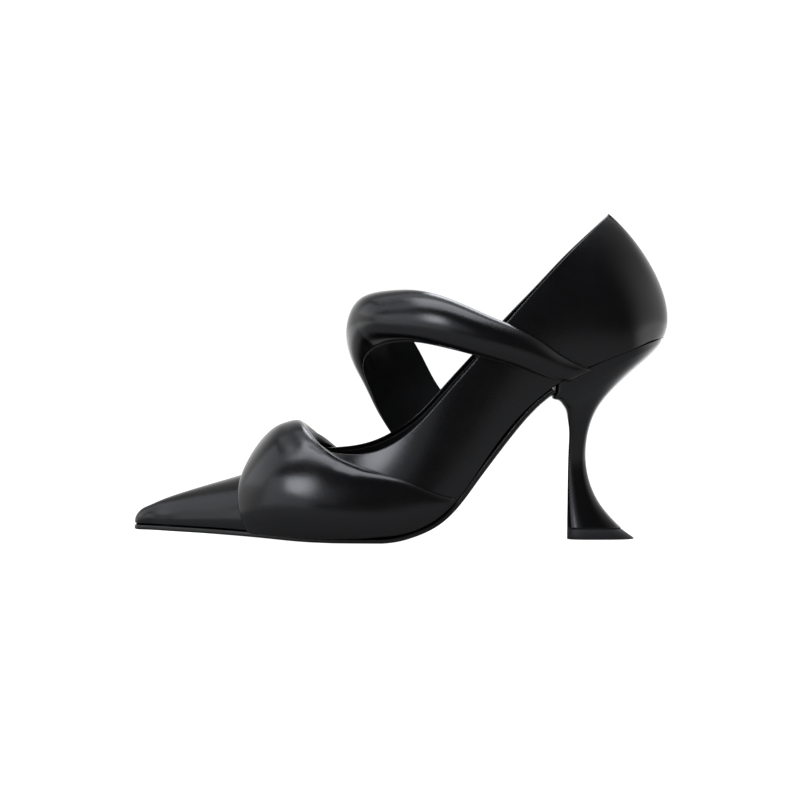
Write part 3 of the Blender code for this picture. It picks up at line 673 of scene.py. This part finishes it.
# Short creases across the inner face, where the strap bends over the instep
STRAP_CREASES = (
    # x0    z0     x1     z1   width depth
    (-17.6, 84.5, -15.6, 75.5,  1.2, 0.40),
    (-15.0, 84.5, -13.2, 77.0,  1.0, 0.30),
    (-6.0,  91.0,  -4.5, 82.0,  2.4, 0.45),
)


def nearest_on_last(points):
    """Along and wrap of the grid points of the last that are nearest to the given ones."""
    first, last = along_of(SEARCH_STRETCH[0]), along_of(SEARCH_STRETCH[1])
    ways, wraps = np.linspace(first, last, SEARCH_STEPS[0]), np.linspace(0, 2, SEARCH_STEPS[1])
    along, wrap = np.meshgrid(ways, wraps, indexing="ij")
    surface = last_wrap(along, wrap)
    found = [np.argmin(np.sum((surface - point) ** 2, -1)) for point in points]
    return along.ravel()[found], wrap.ravel()[found]


def strap_line(count):
    """Along, wrap, width and padding at even steps of the strap's middle line, and how along and wrap
    change for each millimetre sideways, square to the line on the last. The line is carried straight
    on past its first row, below the feather edge."""
    along_rows, wrap_rows = nearest_on_last(INSTEP_STRAP[:, :3])
    steps = np.linalg.norm(np.diff(INSTEP_STRAP[:, :3], axis=0), axis=1)
    knots = np.concatenate([[-STRAP_TUCK, 0], np.cumsum(steps)])
    columns = np.column_stack([along_rows, wrap_rows, INSTEP_STRAP[:, 3:]])
    ahead = columns[0] - (columns[1] - columns[0]) * STRAP_TUCK / steps[0] * (1, 1, 0, 0)
    columns = np.concatenate([ahead[None], columns])
    way = np.linspace(knots[0], knots[-1], count)
    along, wrap, width, puff = spline(knots, columns, way).T
    run = np.gradient(last_wrap(along, wrap), way, axis=0)
    sideways = np.cross(last_normal(along, np.clip(wrap, *WRAP_ENDS)), run)
    sideways /= np.linalg.norm(sideways, axis=1, keepdims=True)
    d_along = last_wrap(along + ALONG_STEP, wrap) - last_wrap(along - ALONG_STEP, wrap)
    d_wrap = last_wrap(along, wrap + WRAP_STEP) - last_wrap(along, wrap - WRAP_STEP)
    slopes = np.stack([d_along / (2 * ALONG_STEP), d_wrap / (2 * WRAP_STEP)], -1)
    move = np.einsum("nij,nj->ni", np.linalg.pinv(slopes), sideways)
    return along, wrap, width, puff, move


def strap_sheet(line, across, inset=0.0):
    """Points and normals of the last under the strap: across runs -1 to 1 over its width less inset.
    The third result falls from 1 to 0 along a quarter circle where the strap goes into the seam."""
    along, wrap, width, _, move = line
    reach = across * np.maximum(width - 2 * inset, STRAP_LEAST) / 2
    along = along + reach * move[:, 0]
    wrap = wrap + reach * move[:, 1]
    surface = last_wrap(along, np.clip(wrap, -STRAP_BELOW, WRAP_ENDS[1]))
    normal = last_normal(along, np.clip(wrap, *WRAP_ENDS))
    rib = np.linalg.norm(last_wrap(along, RIB_PART) - last_wrap(along, 0.0), axis=-1) / RIB_PART
    tucked = 1 - np.clip((wrap + STRAP_BELOW) * rib / STRAP_TURN, 0, 1)
    return surface, normal, np.sqrt(1 - tucked**2)


strap_middle = strap_line(241)
strap_puff = strap_middle[3] - STRAP_LINING
strap_across = np.linspace(-1, 1, 73)[:, None]
strap_angle = strap_across * STRAP_ROUND
strap_surface, strap_normal, strap_end = strap_sheet(strap_middle, np.sin(strap_angle))
strap_rise = (np.cos(strap_angle) - np.cos(STRAP_ROUND)) / (1 - np.cos(STRAP_ROUND))
strap_lift = STRAP_GAP + (STRAP_LINING + strap_rise * strap_puff) * strap_end
strap_over = strap_surface + strap_normal * strap_lift[..., None]
strap_seat, seat_normal, seat_end = strap_sheet(strap_middle, strap_across * np.sin(STRAP_ROUND))
strap_under = strap_seat + seat_normal * (STRAP_GAP + STRAP_LINING * seat_end)[..., None]
strap_grid = closed_pad(strap_over, strap_under)
instep_strap = add_piece("instep_strap", strap_grid, PADDED_LEATHER, close_rows=True)
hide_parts("instep_strap")
lining_across = eased(-1, 1, 40)[:, None]
lining_inset = (1 - np.sin(STRAP_ROUND)) * strap_middle[2] / 2 - STRAP_LIP
lining_surface, lining_normal, lining_end = strap_sheet(strap_middle, lining_across, lining_inset)
lining_lift = (1 - lining_across**LINING_SQUARE) ** (1 / LINING_SQUARE) * STRAP_LINING * lining_end
lining_under = lining_surface + lining_normal * STRAP_GAP
lining_over = lining_under + lining_normal * lining_lift[..., None]
lining_crease = np.minimum(crease_depth(lining_under, STRAP_CREASES), LINING_CREASED * lining_lift)
lining_under += lining_normal * lining_crease[..., None]
lining_pad = closed_pad(lining_over, lining_under)
strap_lining = add_piece("strap_lining", lining_pad, LINING_LEATHER, close_rows=True)

# The outsole
# A thin sole of black burnished leather, from the toe to the breast of the heel. Its edge stands a
# little out of the upper at the forepart and is drawn in at the waist, where its underside is crowned.

SOLE_LEATHER = leather(
    "burnished sole leather", ((0.008, 0.008, 0.008), (0.013, 0.0125, 0.012)), (0.28, 0.4), 700, 45, 0.02
)
SOLE_ROUND = 0.7
OUTSOLE_END = 70.2
FOREPART_EDGE, WAIST_EDGE = 0.6, -0.6
WAIST_CROWN = 1.2
WAIST_STRETCH = (-10, 25)
sole_along = eased(0, along_of(OUTSOLE_END), 200, 0.5)[:, None]
sole_share, sole_inset, sole_lift = plate_edge(SOLE_THICK, SOLE_ROUND, 40)
waist = smooth(*WAIST_STRETCH, foot_at(sole_along))
sole_edge = FOREPART_EDGE + (WAIST_EDGE - FOREPART_EDGE) * waist - sole_inset
crowned = WAIST_CROWN * waist * np.sin(np.pi * sole_share) * (sole_lift < SOLE_THICK / 2)
outsole_grid = sole_loop(sole_along[:, 0], sole_share, sole_edge, sole_lift - crowned)
breast_cap = sole_loop(sole_along[-1:, 0], sole_share, sole_edge[-1:], 0 * sole_lift + SOLE_THICK / 2)
outsole = add_piece(
    "outsole", np.concatenate([outsole_grid, breast_cap]), SOLE_LEATHER, close_columns=True
)
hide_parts("outsole")

# The heel
# A moulded core covered with the same smooth leather, drawn tight over it. It is wide under the seat,
# waisted in the middle and flared again at the bottom, with a nearly flat breast.

HEEL = np.array((
    # front_x front_z back_x back_z  half
    (70.5,    67.0,   119.8,  90.2, 21.3),
    (69.4,    65.3,   119.1,  89.1, 20.8),
    (71.0,    64.0,   117.0,  86.5, 19.5),
    (73.8,    62.2,   112.6,  82.2, 17.3),
    (76.0,    59.6,   104.6,  75.2, 14.3),
    (77.2,    56.0,    97.0,  67.9, 11.3),
    (77.9,    51.0,    90.8,  60.0,  8.5),
    (77.8,    43.5,    86.2,  47.0,  6.3),
    (77.5,    36.0,    85.5,  36.5,  5.5),
    (77.3,    26.0,    87.3,  26.0,  6.1),
    (77.2,    16.0,    92.0,  16.0,  7.8),
    (77.1,    10.0,    96.8,  10.0,  9.2),
    (77.1,     5.0,   101.7,   5.0, 10.6),
))
SEAT_FRONT, SEAT_BACK, SEAT_HALF = 70.6, 120.4, 22.1
HEEL_WIDEST = 0.42
SEAT_SQUARE, BREAST_SQUARE = 14.0, 3.4
BACK_ROUND, BACK_SQUARE = 2.1, 2.8
BREAST_CUT, BREAST_SKEW = 1.3, 0.09
HEEL_SIDES = 160
# Ways down the back over which the breast and the back change from the seat's form to the heel's
BREAST_STRETCH, BACK_STRETCH = (0, 55), (15, 45)
SEAM = 0.05
SEAT_EDGE = 0.02


def heel_ring(front, back, half, front_square=BREAST_SQUARE, back_square=BACK_SQUARE, cut=BREAST_CUT):
    """Outline x, y of the heel at each level: two half superellipses that meet where the heel is widest,
    the front one drawn a cut too long and cut off flat at the breast, a little askew as the foot is."""
    angle = (np.arange(HEEL_SIDES) + 0.5) * 2 * np.pi / HEEL_SIDES
    sizes = np.broadcast_arrays(front, back, half, front_square, back_square, cut)
    front, back, half, front_square, back_square, cut = (size.astype(float)[:, None] for size in sizes)
    widest = front + HEEL_WIDEST * (back - front)
    c, s = np.cos(angle), np.sin(angle)
    power = np.where(c > 0, 2 / back_square, 2 / front_square)
    reach = np.where(c > 0, back - widest, widest - front + cut)
    x = widest + np.sign(c) * np.abs(c) ** power * reach
    y = np.sign(s) * np.abs(s) ** power * half
    return np.maximum(x, front + BREAST_SKEW * y * (cut > 0)), y


def capped(rings):
    """Rings with a first and a last ring drawn in to their middles, which close the loft."""
    ends = rings[[0, -1]].mean(axis=1, keepdims=True) + 0 * rings[[0, -1]]
    return np.concatenate([ends[:1], rings, ends[1:]])


HEEL_LEATHER = leather(
    "drawn heel leather", ((0.0025, 0.0025, 0.003), (0.004, 0.004, 0.0045)), (0.16, 0.21), 1500, 50, 0.006
)
heel_knots = np.concatenate([[0], np.cumsum(np.linalg.norm(np.diff(HEEL[:, 2:4], axis=0), axis=1))])
heel_way = np.linspace(0, heel_knots[-1], 121)
heel_front, heel_front_z, heel_back, heel_back_z, heel_half = spline(heel_knots, HEEL, heel_way).T
lower_heel = smooth(*BREAST_STRETCH, heel_way)
heel_x, heel_y = heel_ring(
    heel_front,
    heel_back,
    heel_half,
    SEAT_SQUARE + (BREAST_SQUARE - SEAT_SQUARE) * lower_heel,
    BACK_ROUND + (BACK_SQUARE - BACK_ROUND) * smooth(*BACK_STRETCH, heel_way),
    BREAST_CUT * lower_heel,
)
heel_tilt = (heel_back_z - heel_front_z) / (heel_back - heel_front)
heel_z = heel_front_z[:, None] + heel_tilt[:, None] * (heel_x - heel_front[:, None])
seat_x, seat_y = heel_ring([SEAT_FRONT], [SEAT_BACK], [SEAT_HALF], [SEAT_SQUARE], [BACK_ROUND], [0])
seat_z = np.interp(seat_x, *above_sole(SOLE_X, FEATHER_LIFT - SEAM))
seat_ring = np.stack([seat_x, seat_y, seat_z], -1)
seat_inner = seat_ring + (seat_ring.mean(axis=1, keepdims=True) - seat_ring) * SEAT_EDGE
heel_body = np.stack([heel_x, heel_y, heel_z], -1)
heel_rings = np.concatenate([seat_inner, seat_ring, seat_ring - (0, 0, SEAT_EDGE), heel_body])
heel = add_piece("heel", capped(heel_rings), HEEL_LEATHER, close_columns=True)
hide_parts("heel")

# The top piece
# A hard plastic tip pinned under the heel. It carries the flare on to the floor, where its back runs
# out to a point.

TOP_PIECE = np.array((
    # height front  back   half
    (4.7,    77.2, 101.4, 10.6),
    (4.6,    77.1, 101.6, 10.7),
    (0.3,    77.1, 107.6, 11.3),
    (0.0,    77.3, 107.4, 11.2),
))
PLASTIC_GRAIN = 1800
PLASTIC_DEPTH = 0.02


def moulded_plastic(name, tone, roughness):
    """Principled plastic: a fine noise varies its roughness and, through a Bump node, its surface."""
    material = bpy.data.materials.new(name)
    material.use_nodes = True
    nodes, link = material.node_tree.nodes, material.node_tree.links.new
    shader = nodes["Principled BSDF"]
    shader.inputs["Base Color"].default_value = (*tone, 1)
    place = nodes.new("ShaderNodeTexCoord")
    noise = nodes.new("ShaderNodeTexNoise")
    noise.inputs["Scale"].default_value = PLASTIC_GRAIN
    noise.inputs["Detail"].default_value = 3
    link(place.outputs["Object"], noise.inputs["Vector"])
    gloss = nodes.new("ShaderNodeMapRange")
    gloss.inputs["To Min"].default_value = roughness[0]
    gloss.inputs["To Max"].default_value = roughness[1]
    link(noise.outputs["Fac"], gloss.inputs["Value"])
    link(gloss.outputs["Result"], shader.inputs["Roughness"])
    bump = nodes.new("ShaderNodeBump")
    bump.inputs["Distance"].default_value = PLASTIC_DEPTH * MM
    link(noise.outputs["Fac"], bump.inputs["Height"])
    link(bump.outputs["Normal"], shader.inputs["Normal"])
    return material


TIP_PLASTIC = moulded_plastic("hard tip plastic", (0.008, 0.008, 0.0085), (0.45, 0.7))
tip_height, tip_front, tip_back, tip_half = TOP_PIECE.T
tip_x, tip_y = heel_ring(tip_front, tip_back, tip_half)
tip_rings = np.stack([tip_x, tip_y, tip_height[:, None] + 0 * tip_x], -1)
top_piece = add_piece("top_piece", capped(tip_rings), TIP_PLASTIC, close_columns=True)
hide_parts("top_piece")

# The stage
# A white table and white surroundings, as the camera sees them, that light the shoe only dimly. The
# light comes from a large softbox overhead, set towards the camera, and weaker ones round the shoe.

FLOOR_SIZE = 4.0
SEEN_WHITE = 1.05
PAPER_GREY = (0.18, 0.18, 0.18, 1)
# Glow in front of the shoe and behind it, of floor and surroundings, and where it changes
FLOOR_GLOW, FLOOR_STRETCH, FLOOR_ASIDE = (0.12, 1.45), (0.1, 0.4), 0.7
WORLD_GLOW, WORLD_STRETCH = (0.07, 1.1), (-0.8, 0.0)
UPWARD_FADE, UPWARD_STRETCH = (1.0, 0.25), (0.3, 0.8)
SHOE_MIDDLE = 0.07
COOL = (0.89, 0.92, 1.0)
SOFTBOXES = (
    # name, place, width and height, radiance
    ("overhead", (-0.08, -0.21, 0.97), (0.8, 0.52), 4.2),
    ("ceiling", (0.0, 0.15, 1.05), (1.0, 0.8), 0.8),
    ("front left", (-0.60, -0.90, 0.61), (0.38, 0.42), 6.9),
    ("front left spread", (-0.78, -0.84, 0.36), (0.85, 0.8), 1.0),
    ("front edge", (-0.28, -1.08, 0.40), (0.35, 0.5), 0.45),
    ("left", (-1.02, 0.0, 0.85), (0.9, 0.85), 0.95),
    ("behind", (0.28, 0.68, 0.92), (0.6, 0.5), 5.6),
)


def seen_or_lit(nodes, link, lit):
    """Value that is white for what the camera sees and the value of the socket lit for other rays."""
    look = nodes.new("ShaderNodeLightPath")
    mix = nodes.new("ShaderNodeMix")
    mix.inputs["B"].default_value = SEEN_WHITE
    link(look.outputs["Is Camera Ray"], mix.inputs["Factor"])
    link(lit, mix.inputs["A"])
    return mix.outputs["Result"]


def ramped(nodes, link, value, stretch, ends):
    """Smooth ramp of a value socket between two ends over a stretch."""
    ramp = nodes.new("ShaderNodeMapRange")
    ramp.interpolation_type = "SMOOTHSTEP"
    ramp.inputs["From Min"].default_value = stretch[0]
    ramp.inputs["From Max"].default_value = stretch[1]
    ramp.inputs["To Min"].default_value = ends[0]
    ramp.inputs["To Max"].default_value = ends[1]
    link(value, ramp.inputs["Value"])
    return ramp.outputs["Result"]


def add_floor():
    """Square plane at z = 0 of matte paper. It glows white to the camera, and to the shoe it glows
    dimly in front and more brightly behind and at the sides, by y plus a share of the size of x."""
    corner = FLOOR_SIZE / 2
    mesh = bpy.data.meshes.new("floor")
    corners = [(-corner, -corner, 0), (corner, -corner, 0), (corner, corner, 0), (-corner, corner, 0)]
    mesh.from_pydata(corners, [], [(0, 1, 2, 3)])
    paper = bpy.data.materials.new("white paper")
    paper.use_nodes = True
    nodes, link = paper.node_tree.nodes, paper.node_tree.links.new
    shader = nodes["Principled BSDF"]
    shader.inputs["Base Color"].default_value = PAPER_GREY
    shader.inputs["Roughness"].default_value = 0.9
    shader.inputs["Emission Color"].default_value = (1, 1, 1, 1)
    place = nodes.new("ShaderNodeTexCoord")
    parts = nodes.new("ShaderNodeSeparateXYZ")
    link(place.outputs["Object"], parts.inputs["Vector"])
    aside = nodes.new("ShaderNodeMath")
    aside.operation = "ABSOLUTE"
    link(parts.outputs["X"], aside.inputs[0])
    away = nodes.new("ShaderNodeMath")
    away.operation = "MULTIPLY_ADD"
    away.inputs[1].default_value = FLOOR_ASIDE
    link(aside.outputs["Value"], away.inputs[0])
    link(parts.outputs["Y"], away.inputs[2])
    glow = ramped(nodes, link, away.outputs["Value"], FLOOR_STRETCH, FLOOR_GLOW)
    link(seen_or_lit(nodes, link, glow), shader.inputs["Emission Strength"])
    mesh.materials.append(paper)
    floor = bpy.data.objects.new("floor", mesh)
    bpy.context.scene.collection.objects.link(floor)


def add_softbox(name, place, size, radiance):
    """Rectangular area light at a place, turned to the shoe; its power is pi times area times radiance."""
    light = bpy.data.lights.new(name, "AREA")
    light.shape = "RECTANGLE"
    light.size, light.size_y = size
    light.energy = np.pi * size[0] * size[1] * radiance
    light.color = COOL
    softbox = bpy.data.objects.new(name, light)
    softbox.location = place
    way = softbox.location.copy()
    way.x, way.y, way.z = -place[0], -place[1], SHOE_MIDDLE - place[2]
    softbox.rotation_euler = way.to_track_quat("-Z", "Y").to_euler()
    softbox.visible_camera = False
    bpy.context.scene.collection.objects.link(softbox)


def add_surroundings():
    """World whose strength goes smoothly from the camera's side to behind the shoe, by the share of
    the direction along Y, and fades upwards by its share along Z; the camera itself sees it white."""
    world = bpy.data.worlds.new("studio")
    world.use_nodes = True
    nodes, link = world.node_tree.nodes, world.node_tree.links.new
    place = nodes.new("ShaderNodeTexCoord")
    parts = nodes.new("ShaderNodeSeparateXYZ")
    link(place.outputs["Generated"], parts.inputs["Vector"])
    ramp = ramped(nodes, link, parts.outputs["Y"], WORLD_STRETCH, WORLD_GLOW)
    fade = ramped(nodes, link, parts.outputs["Z"], UPWARD_STRETCH, UPWARD_FADE)
    strength = nodes.new("ShaderNodeMath")
    strength.operation = "MULTIPLY"
    link(ramp, strength.inputs[0])
    link(fade, strength.inputs[1])
    link(seen_or_lit(nodes, link, strength.outputs["Value"]), nodes["Background"].inputs["Strength"])
    nodes["Background"].inputs["Color"].default_value = (1, 1, 1, 1)
    bpy.context.scene.world = world


add_floor()
add_surroundings()
for box in SOFTBOXES:
    add_softbox(*box)
bpy.context.scene.view_settings.view_transform = "Standard"

# The camera
# It stands as the photograph's did: level with the upper part of the shoe, on its outer side, a bit
# over a metre away, and tipped slightly down.

CAMERA_PLACE = (0.0, -1.130, 0.088)
CAMERA_LENS = 110.5
CAMERA_TILT = 88.764
SENSOR_WIDTH = 36.0
CLIP_START = 0.01
camera_data = bpy.data.cameras.new("camera")
camera_data.lens = CAMERA_LENS
camera_data.sensor_width = SENSOR_WIDTH
camera_data.clip_start = CLIP_START
camera = bpy.data.objects.new("camera", camera_data)
camera.location = CAMERA_PLACE
camera.rotation_euler = (np.radians(CAMERA_TILT), 0, 0)
bpy.context.scene.collection.objects.link(camera)
bpy.context.scene.camera = camera
